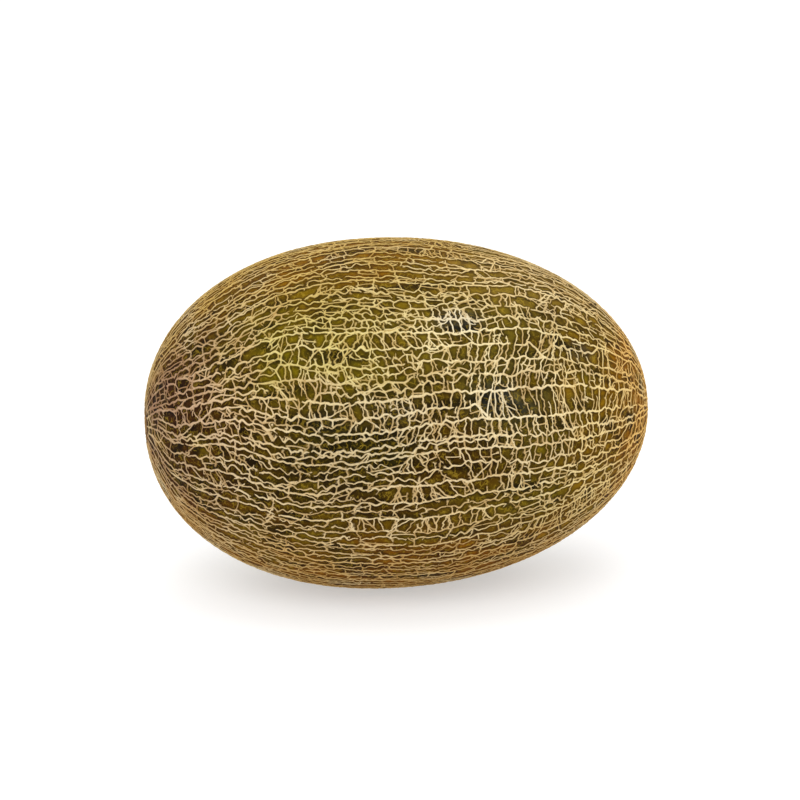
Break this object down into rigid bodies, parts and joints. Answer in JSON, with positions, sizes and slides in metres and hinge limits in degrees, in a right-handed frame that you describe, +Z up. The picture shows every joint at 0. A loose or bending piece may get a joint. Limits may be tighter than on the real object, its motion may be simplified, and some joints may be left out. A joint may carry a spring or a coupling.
{
  "type": "oval netted melon",
  "caption": "Whole oval melon with a netted olive and tan rind, lying on its side on a small flat spot.",
  "frame": {"origin": "on the ground under the middle of the fruit: the centre of the bottom of its bounding box", "axes": "+X along the fruit towards its stem end, +Z up from the flat spot that it rests on"},
  "size_m": [0.2594, 0.18, 0.1788],
  "materials": {
    "netted_rind": "matte"
  },
  "bodies": {
    "root": {"melon": "netted_rind"}
  },
  "joints": []
}
